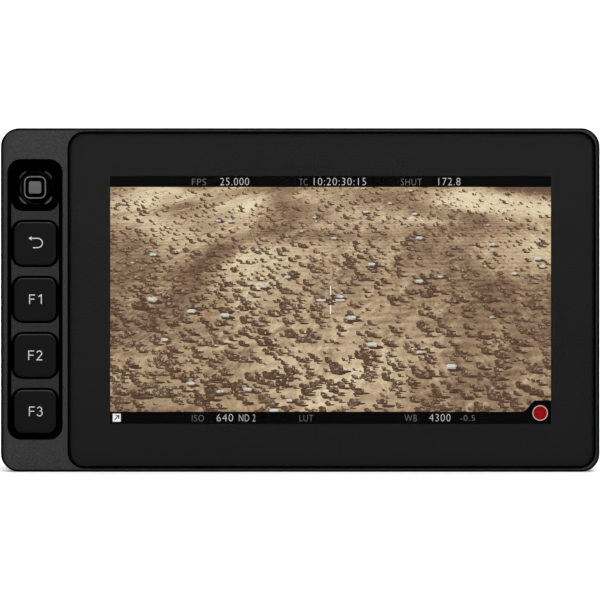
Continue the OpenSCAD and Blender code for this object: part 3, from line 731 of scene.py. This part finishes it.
def socket_id(tree, name):
    """The identifier of a tree's input, by which its modifier is set."""
    return next(i.identifier for i in tree.interface.items_tree if i.name == name)


def empty_tree(name, inputs):
    """A node tree with an output for its geometry and a named input for each size."""
    tree = bpy.data.node_groups.new(name, "GeometryNodeTree")
    face = tree.interface
    face.new_socket("Geometry", in_out="OUTPUT", socket_type="NodeSocketGeometry")
    for label, kind in inputs:
        face.new_socket(label, in_out="INPUT", socket_type=f"NodeSocket{kind}")
    return tree


def end_tree(tree, instances, material):
    """Ends a tree: its instances become real and get their material."""
    nodes, links = tree.nodes, tree.links
    real = nodes.new("GeometryNodeRealizeInstances")
    links.new(instances, real.inputs[0])
    finish = nodes.new("GeometryNodeSetMaterial")
    links.new(real.outputs[0], finish.inputs["Geometry"])
    links.new(material, finish.inputs["Material"])
    links.new(finish.outputs[0], nodes.new("NodeGroupOutput").inputs[0])


def scatter_tree():
    """Scatters plants and stones over the picture, smaller and closer together towards its top."""
    inputs = [
        ("Geometry", "Geometry"),
        ("Plant", "Object"),
        ("Size", "Float"),
        ("Density", "Float"),
        ("Horizon", "Float"),
        ("Near", "Float"),
        ("Seed", "Int"),
        ("Material", "Material"),
    ]
    tree = empty_tree("scatter_scrub", inputs)
    nodes, links = tree.nodes, tree.links
    given = nodes.new("NodeGroupInput")

    def math_node(operation, a, b):
        made = nodes.new("ShaderNodeMath")
        made.operation = operation
        for socket, value in zip(made.inputs, (a, b), strict=False):
            if isinstance(value, bpy.types.NodeSocket):
                links.new(value, socket)
            else:
                socket.default_value = value
        return made.outputs[0]

    place = nodes.new("GeometryNodeInputPosition")
    split = nodes.new("ShaderNodeSeparateXYZ")
    links.new(place.outputs[0], split.inputs[0])
    drop = math_node("SUBTRACT", given.outputs["Horizon"], split.outputs["Z"])
    closeness = math_node("DIVIDE", drop, given.outputs["Near"])
    crowd = math_node("DIVIDE", given.outputs["Density"], math_node("POWER", closeness, 2.4))
    stands = nodes.new("ShaderNodeTexNoise")
    stands.inputs["Scale"].default_value = 70
    open_ground = nodes.new("ShaderNodeMapRange")
    open_ground.inputs["From Min"].default_value = 0.42
    open_ground.inputs["From Max"].default_value = 0.62
    open_ground.inputs["To Min"].default_value = 0.15
    links.new(stands.outputs[0], open_ground.inputs["Value"])
    crowd = math_node("MULTIPLY", crowd, open_ground.outputs["Result"])
    points = nodes.new("GeometryNodeDistributePointsOnFaces")
    links.new(given.outputs["Geometry"], points.inputs["Mesh"])
    links.new(crowd, points.inputs["Density"])
    links.new(given.outputs["Seed"], points.inputs["Seed"])
    plant = nodes.new("GeometryNodeObjectInfo")
    links.new(given.outputs["Plant"], plant.inputs["Object"])
    random = nodes.new("FunctionNodeRandomValue")
    random.data_type = "FLOAT"
    random.inputs[2].default_value = 0.6
    random.inputs[3].default_value = 1.45
    links.new(given.outputs["Seed"], random.inputs["Seed"])
    size = math_node("MULTIPLY", closeness, given.outputs["Size"])
    size = math_node("MULTIPLY", size, random.outputs[1])
    put = nodes.new("GeometryNodeInstanceOnPoints")
    links.new(points.outputs["Points"], put.inputs["Points"])
    links.new(plant.outputs["Geometry"], put.inputs["Instance"])
    links.new(size, put.inputs["Scale"])
    end_tree(tree, put.outputs[0], given.outputs["Material"])
    return tree


def grown(name, base, tree, values, material):
    """Runs a node tree on a mesh and keeps the result as a plain piece."""
    host = bpy.data.objects.new(name, base)
    bpy.context.scene.collection.objects.link(host)
    modifier = host.modifiers.new("tree", "NODES")
    modifier.node_group = tree
    for key, value in values.items():
        modifier[socket_id(tree, key)] = value
    bpy.context.view_layer.update()
    ready = host.evaluated_get(bpy.context.evaluated_depsgraph_get())
    mesh = bpy.data.meshes.new_from_object(ready)
    host.modifiers.clear()
    bpy.data.objects.remove(host)
    mesh.name = name
    return piece(name, mesh, material)


def trimmed(mesh, low_x, high_x, low_z, high_z):
    """Cuts off what a flat mesh has outside a rectangle in X and Z."""
    bm = bmesh.new()
    bm.from_mesh(mesh)
    planes = [
        ((low_x, 0, 0), (-1, 0, 0)),
        ((high_x, 0, 0), (1, 0, 0)),
        ((0, 0, low_z), (0, 0, -1)),
        ((0, 0, high_z), (0, 0, 1)),
    ]
    for point, outward in planes:
        parts = [*bm.verts, *bm.edges, *bm.faces]
        bmesh.ops.bisect_plane(bm, geom=parts, plane_co=point, plane_no=outward, clear_outer=True)
    bm.to_mesh(mesh)
    bm.free()


def scrub(material):
    """Plants and stones over the picture, each kind on its own layer."""
    reach = 1.5 * MM
    low, top = PICTURE_LOW - 2 * reach, PICTURE_TOP
    left, right = LIT_LEFT - reach, LIT_RIGHT + reach
    tree = scatter_tree()
    kinds = [
        ("scrub_bushes", 3, False, 2.1, 60000, 11),
        ("scrub_low_bushes", 14, False, 1.6, 70000, 2),
        ("scrub_tufts", 8, False, 1.0, 160000, 5),
        ("scrub_stones", 4, True, 3.3, 4200, 7),
    ]
    for i, (name, form, stone, size, density, seed) in enumerate(kinds):
        shape = scrub_shape(name, form, stone)
        bm = bmesh.new()
        depth = PICTURE_Y - (0.004 + 0.007 * i) * MM
        flat_face(bm, [(left, low), (right, low), (right, top), (left, top)], depth)
        facing_front(bm)
        values = {
            "Plant": shape,
            "Size": size * MM,
            "Density": density,
            "Horizon": HORIZON_Z,
            "Near": NEAR,
            "Seed": seed,
            "Material": material,
        }
        made = grown(name, finished(bm, name), tree, values, material)
        trimmed(made.data, LIT_LEFT, LIT_RIGHT, PICTURE_LOW, PICTURE_TOP)
        bpy.data.objects.remove(shape)


def words(bm_into, text, left, right, foot, height):
    """Adds one line of thin lettering as a flat mesh, fitted between two places."""
    curve = bpy.data.curves.new("words", "FONT")
    curve.body = text
    curve.offset = -0.021
    curve.space_character = 1.12
    curve.resolution_u = 4
    holder = bpy.data.objects.new("words", curve)
    bpy.context.scene.collection.objects.link(holder)
    bpy.context.view_layer.update()
    ready = holder.evaluated_get(bpy.context.evaluated_depsgraph_get())
    mesh = bpy.data.meshes.new_from_object(ready)
    xs = [v.co.x for v in mesh.vertices]
    stretch = (right - left) / (max(xs) - min(xs))
    size = height / max(v.co.y for v in mesh.vertices)
    mesh.transform(
        Matrix(
            (
                (stretch, 0, 0, left - stretch * min(xs)),
                (0, 0, 1, READOUT_Y),
                (0, size, 0, foot),
                (0, 0, 0, 1),
            )
        )
    )
    bm_into.from_mesh(mesh)
    bpy.data.objects.remove(holder)
    bpy.data.meshes.remove(mesh)
    bpy.data.curves.remove(curve)


def readouts(bright, dim):
    """Plain readings in the two bars, each between two places from the panel's middle."""
    top_foot = LIT_TOP - 2.28 * MM
    low_foot = LIT_LOW + 0.6 * MM
    tall, small = 1.85 * MM, 1.62 * MM
    values = [
        ("25.000", -27.7, -20.5, top_foot, tall),
        ("10:20:30:15", -4.2, 8.9, top_foot, tall),
        ("172.8", 27.1, 32.6, top_foot, tall),
        ("640", -28.6, -24.5, low_foot, tall),
        ("ND 2", -23.0, -18.9, low_foot, tall * 0.94),
        ("4300", 24.8, 30.1, low_foot, tall),
    ]
    labels = [
        ("FPS", -34.8, -31.3, top_foot, small),
        ("TC", -7.9, -5.8, top_foot, small),
        ("SHUT", 17.7, 22.9, top_foot, small),
        ("ISO", -34.8, -31.8, low_foot, small),
        ("LUT", -7.8, -4.4, low_foot, small),
        ("WB", 18.6, 21.7, low_foot, small),
        ("-0.5", 32.6, 36.2, low_foot + 0.15 * MM, 1.4 * MM),
    ]
    groups = (("screen_values", values, bright), ("screen_labels", labels, dim))
    for name, lines, material in groups:
        bm = bmesh.new()
        for text, left, right, foot, height in lines:
            words(bm, text, LIT_X + left * MM, LIT_X + right * MM, foot, height)
        screen_piece(name, bm, material)


def screen_marks(white, red, black, outline):
    """The cross in the middle, the corner mark and the record dot on its tab."""
    line, over_y = 0.24 * MM, READOUT_Y - 0.005 * MM
    bm = bmesh.new()
    for turn in range(4):
        way = Vector((math.cos(turn * math.pi / 2), math.sin(turn * math.pi / 2)))
        ends = [(LIT_X + way.x * r, LIT_Z + way.y * r) for r in (1.25 * MM, 3.5 * MM)]
        ribbon(bm, ends, 0.3 * MM, READOUT_Y)
    screen_piece("screen_cross", bm, white)

    left, low = LIT_LEFT + 0.62 * MM, LIT_LOW + 0.52 * MM
    side = 2.02 * MM
    right, top = left + side, low + side
    bm = bmesh.new()
    flat_face(bm, [(left, low), (right, low), (right, top), (left, top)], READOUT_Y)
    screen_piece("corner_mark", bm, white)
    bm = bmesh.new()
    tip = (left + 0.82 * side, low + 0.82 * side)
    tail = [(left + 0.24 * side, low + 0.24 * side), (left + 0.72 * side, low + 0.72 * side)]
    ribbon(bm, tail, line, over_y)
    corner = [(tip[0] - 0.95 * MM, tip[1] - 0.12 * MM), (tip[0] - 0.12 * MM, tip[1] - 0.12 * MM)]
    corner.append((tip[0] - 0.12 * MM, tip[1] - 0.95 * MM))
    ribbon(bm, corner, line, over_y)
    screen_piece("corner_arrow", bm, black)

    dot = (LIT_RIGHT - 2.71 * MM, LIT_LOW + 2.72 * MM)
    dot_radius, ring_radius = 1.72 * MM, 1.83 * MM
    tab_top = PICTURE_LOW + 2.85 * MM
    tab = [
        (LIT_RIGHT, PICTURE_LOW),
        (LIT_RIGHT, tab_top),
        (LIT_RIGHT - 4.15 * MM, tab_top),
        (LIT_RIGHT - 6.75 * MM, PICTURE_LOW),
    ]
    bm = bmesh.new()
    flat_face(bm, tab, READOUT_Y + 0.005 * MM)
    screen_piece("record_tab", bm, black)
    bm = bmesh.new()
    flat_face(bm, arc(dot, dot_radius, 0, 352, 44), READOUT_Y)
    screen_piece("record_dot", bm, red)
    bm = bmesh.new()
    ribbon(bm, arc(dot, ring_radius, 0, 352, 44), 0.18 * MM, over_y, closed=True)
    screen_piece("record_ring", bm, outline)


# Small metal parts


def contact_shape(length, width, thickness):
    """A sprung contact along X: a flat strip whose outer end is thinner and narrower."""
    bm = bmesh.new()
    bmesh.ops.create_cube(bm, size=1.0)
    bmesh.ops.scale(bm, vec=(length, thickness, width), verts=bm.verts)
    nose = [v for v in bm.verts if v.co.x > 0]
    bmesh.ops.scale(bm, vec=(1, 0.5, 0.8), verts=nose)
    bmesh.ops.bevel(bm, geom=list(bm.edges), offset=thickness * 0.2, segments=1, affect="EDGES")
    return bpy.data.objects.new("contact", finished(bm, "contact"))


def row_tree():
    """Repeats a contact along a line."""
    inputs = [
        ("Geometry", "Geometry"),
        ("Contact", "Object"),
        ("Count", "Int"),
        ("Start", "Vector"),
        ("Step", "Vector"),
        ("Material", "Material"),
    ]
    tree = empty_tree("contact_row", inputs)
    nodes, links = tree.nodes, tree.links
    given = nodes.new("NodeGroupInput")
    line = nodes.new("GeometryNodeMeshLine")
    links.new(given.outputs["Count"], line.inputs["Count"])
    links.new(given.outputs["Start"], line.inputs["Start Location"])
    links.new(given.outputs["Step"], line.inputs["Offset"])
    contact = nodes.new("GeometryNodeObjectInfo")
    links.new(given.outputs["Contact"], contact.inputs["Object"])
    put = nodes.new("GeometryNodeInstanceOnPoints")
    links.new(line.outputs[0], put.inputs["Points"])
    links.new(contact.outputs["Geometry"], put.inputs["Instance"])
    end_tree(tree, put.outputs[0], given.outputs["Material"])
    return tree


def socket_contacts(gold):
    """Rows of contacts on both sides of the two tongues in the right wall."""
    tree = row_tree()
    rows = [
        ("hdmi", 10, 1.0 * MM, 6.0 * MM, 0.5 * MM),
        ("usb", 12, 0.5 * MM, 4.0 * MM, 0.26 * MM),
    ]
    thickness = 0.06 * MM
    for kind, count, pitch, length, width in rows:
        low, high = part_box(f"{kind}_tongue")
        shape = contact_shape(length, width, thickness)
        for side, y in (("front", low.y), ("back", high.y)):
            start = (
                high.x - 0.6 * MM - length / 2,
                y,
                (low.z + high.z) / 2 - (count - 1) / 2 * pitch,
            )
            values = {
                "Contact": shape,
                "Count": count,
                "Start": start,
                "Step": (0, 0, pitch),
                "Material": gold,
            }
            name = f"{kind}_contacts_{side}"
            grown(name, bpy.data.meshes.new(name), tree, values, gold)
        bpy.data.objects.remove(shape)


def threaded_sleeve(node, steel, mouth_up):
    """A tripod insert with the turns of its thread, in the place of the plain one."""
    low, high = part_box(node)
    radius = (high.x - low.x) / 2
    core, depth, pitch = 2.6 * MM, 0.52 * MM, 1.27 * MM
    around, per_turn, flare = 64, 8, 0.7 * MM
    rows = round((high.z - low.z) / pitch * per_turn)
    bm = bmesh.new()
    inner = []
    for i in range(rows + 1):
        z = low.z + (high.z - low.z) * i / rows
        to_mouth = high.z - z if mouth_up else z - low.z
        opening = core + max(0.0, flare - to_mouth)
        ring = []
        for j in range(around):
            angle = math.tau * j / around
            turn = (z / pitch - j / around) % 1.0
            tooth = min(1.0, max(0.0, 1.25 - 2.5 * abs(turn - 0.5)))
            reach = max(opening, core + depth * tooth)
            ring.append(bm.verts.new((reach * math.cos(angle), reach * math.sin(angle), z)))
        inner.append(ring)
    turns = [math.tau * j / around for j in range(around)]
    outer = [
        [bm.verts.new((radius * math.cos(a), radius * math.sin(a), z)) for a in turns]
        for z in (low.z, high.z)
    ]
    shells = [*inner, outer[1], outer[0], inner[0]]
    for a, b in zip(shells, shells[1:], strict=False):
        for j in range(around):
            k = (j + 1) % around
            bm.faces.new((a[j], b[j], b[k], a[k]))
    bmesh.ops.recalc_face_normals(bm, faces=bm.faces)
    made = piece(f"{node}_thread", finished(bm, node), steel)
    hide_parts(node)


# Stage, lights and camera


def stage():
    """A plain pale floor that turns up into a backdrop far behind."""
    bm = bmesh.new()
    half, front, back, height, bend = 3.0, -2.5, 1.6, 2.6, 0.6
    turns = [math.pi / 2 * i / 12 for i in range(13)]
    profile = [(front, 0.0)]
    profile += [(back - bend + bend * math.sin(a), bend - bend * math.cos(a)) for a in turns]
    profile += [(back, height)]
    rows = [[bm.verts.new((sx * half, y, z)) for sx in (-1, 1)] for y, z in profile]
    for a, b in zip(rows, rows[1:], strict=False):
        bm.faces.new((a[0], a[1], b[1], b[0]))
    mesh = finished(bm, "studio_floor")
    finish = Finish("studio_paper", (0.76, 0.76, 0.76), 0.9, specular=0.0)
    cloud = finish.noise(3, 2)
    finish.set("Base Color", finish.mix(cloud, (0.755, 0.755, 0.755), (0.765, 0.765, 0.765)))
    finish.set("Emission Color", (1, 1, 1, 1))
    finish.set("Emission Strength", 0.14)
    mesh.materials.append(finish.material)
    floor = bpy.data.objects.new("studio_floor", mesh)
    for polygon in mesh.polygons:
        polygon.use_smooth = True
    bpy.context.scene.collection.objects.link(floor)
    floor.visible_glossy = False


def area_light(name, place, target, width, height, power):
    lamp = bpy.data.lights.new(name, "AREA")
    lamp.shape = "RECTANGLE"
    lamp.size = width
    lamp.size_y = height
    lamp.energy = power
    made = bpy.data.objects.new(name, lamp)
    made.location = place
    made.rotation_euler = (Vector(target) - Vector(place)).to_track_quat("-Z", "Y").to_euler()
    bpy.context.scene.collection.objects.link(made)
    return made


def studio_world():
    """A soft glow from in front that grows from below to above. The camera sees white."""
    world = bpy.data.worlds.new("studio")
    world.use_nodes = True
    nodes, links = world.node_tree.nodes, world.node_tree.links
    place = nodes.new("ShaderNodeTexCoord")
    split = nodes.new("ShaderNodeSeparateXYZ")
    links.new(place.outputs["Generated"], split.inputs[0])

    def spread(value, low, high, low_out, high_out):
        made = nodes.new("ShaderNodeMapRange")
        for socket, end in zip(made.inputs[1:5], (low, high, low_out, high_out), strict=True):
            socket.default_value = end
        links.new(value, made.inputs["Value"])
        return made.outputs[0]

    glow = nodes.new("ShaderNodeMath")
    glow.operation = "MULTIPLY"
    links.new(spread(split.outputs["Z"], -0.3, 0.3, 0.0, 0.42), glow.inputs[0])
    links.new(spread(split.outputs["Y"], -0.9, -0.2, 1.0, 0.12), glow.inputs[1])
    lit = nodes["Background"]
    links.new(glow.outputs[0], lit.inputs["Strength"])
    lit.inputs["Color"].default_value = (1, 1, 1, 1)
    seen = nodes.new("ShaderNodeBackground")
    seen.inputs["Color"].default_value = (1, 1, 1, 1)
    path = nodes.new("ShaderNodeLightPath")
    pick = nodes.new("ShaderNodeMixShader")
    links.new(path.outputs["Is Camera Ray"], pick.inputs[0])
    links.new(lit.outputs[0], pick.inputs[1])
    links.new(seen.outputs[0], pick.inputs[2])
    links.new(pick.outputs[0], nodes["World Output"].inputs["Surface"])
    bpy.context.scene.world = world


def lights():
    middle = (0, 0, 0.05)
    area_light("top_softbox", (0.0, -0.35, 1.5), (0, -0.25, 0), 2.4, 1.4, 34)
    area_light("front_softbox", (0.0, -0.75, 0.62), middle, 0.9, 0.45, 1.4)
    area_light("left_softbox", (-0.9, -0.5, 0.35), middle, 0.5, 0.6, 0.45)
    area_light("right_softbox", (0.9, -0.5, 0.35), middle, 0.5, 0.6, 0.45)
    area_light("rear_softbox", (0.3, 0.95, 0.75), middle, 0.9, 0.5, 8)
    area_light("backdrop_light", (0, 0.5, 1.3), (0, 1.5, 0.2), 2.2, 0.6, 18)


def camera():
    """A long lens square to the face, whose width nearly fills the view."""
    lens, sensor = 150.0, 36.0
    view_w = 150.42 * MM
    distance = view_w * lens / sensor
    lens_data = bpy.data.cameras.new("camera")
    lens_data.lens = lens
    lens_data.sensor_width = sensor
    made = bpy.data.objects.new("camera", lens_data)
    made.location = (-0.05 * MM, FACE_Y - distance, (frame_low.z + frame_high.z) / 2)
    made.rotation_euler = (math.pi / 2, 0, 0)
    bpy.context.scene.collection.objects.link(made)
    bpy.context.scene.camera = made
    bpy.context.scene.view_settings.view_transform = "Standard"


# Assembly


def coat_nodes():
    """Gives every CAD piece its finish."""
    steel = METALS["steel"]
    nickel = turned_metal("nickel_plate", (0.5, 0.485, 0.46), 0.3, "Y")
    socket = turned_metal("socket_shell", (0.55, 0.55, 0.56), 0.24, "X")
    gold = METALS["gold"]
    chassis = turned_metal("chassis_sheet", (0.5, 0.51, 0.53), 0.35, "X")
    black = moulded("black_moulding", 16)
    rubber = key_rubber("seal_rubber")
    keys = key_rubber("key_rubber", edges=True)
    white = moulded("white_moulding", 225, 0.4)
    insulator = moulded("insulator_moulding", 186, 0.4)
    pad = moulded("thermal_pad", 140, 0.6)
    board = solder_mask()
    film = amber_film()
    screws = black_oxide()
    finishes = {
        "front_frame": powder_coat("frame_coat", recess=True),
        "rear_cover": powder_coat("cover_coat"),
        "housing_seal": rubber,
        "housing_screws": screws,
        "cover_glass": screen_glass(),
        "glass_seal": rubber,
        "lcd_panel": moulded("panel_black", 2.6, 0.7, 0.05),
        "backlight_unit": white,
        "display_flex": film,
        "key_flex": film,
        "chassis_plate": chassis,
        "chassis_screws": screws,
        "board_standoffs": gold,
        "board_screws": screws,
        "main_board": board,
        "key_board": board,
        "board_chips": black,
        "thermal_pad": pad,
        "key_board_screws": screws,
        "key_switches": black,
        "joystick_bezel": collar_plastic(),
        "joystick_base": steel,
        "joystick_gimbal": steel,
        "joystick_stem": moulded("dome_plastic", 3, 0.5, 0.1),
        "joystick_cap": stick_cap_plastic(),
        "power_button": black,
        "power_switch": black,
        "bottom_thread_insert": steel,
        "top_thread_insert": steel,
        "hdmi_socket": socket,
        "usb_socket": socket,
        "card_socket": socket,
        "dc_pin": nickel,
        "hdmi_tongue": black,
        "usb_tongue": black,
        "headphone_jack": black,
        "dc_socket": black,
        "sdi_in_jack": nickel,
        "sdi_out_jack": nickel,
        "sdi_nuts": nickel,
        "sdi_insulators": insulator,
        "sdi_contacts": gold,
    }
    for key in ("back", "f1", "f2", "f3"):
        finishes[f"{key}_key"] = keys
        finishes[f"{key}_plunger"] = white
    for name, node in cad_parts.items():
        node.data.materials.clear()
        node.data.materials.append(finishes[name])


METALS = {
    "steel": turned_metal("bare_steel", (0.36, 0.36, 0.375), 0.36, "Z"),
    "gold": turned_metal("gold_plate", (0.8, 0.58, 0.25), 0.2, "Y"),
}
coat_nodes()
stage()
studio_world()
lights()
camera()
paint = legend_paint()
key_legends(paint)
power_mark(paint)
socket_contacts(METALS["gold"])
threaded_sleeve("bottom_thread_insert", METALS["steel"], mouth_up=False)
threaded_sleeve("top_thread_insert", METALS["steel"], mouth_up=True)
printed_border(border_print())
picture_sheet(lit_picture())
scrub(scrub_tones())
readouts(glowing("readout_white", (grey(214),) * 3), glowing("readout_grey", (grey(128),) * 3))
screen_marks(
    glowing("mark_white", (grey(235),) * 3),
    glowing("record_red", tint(142, 10, 16)),
    glowing("mark_black", (0.0, 0.0, 0.0), 0.0),
    glowing("record_outline", tint(205, 190, 185)),
)
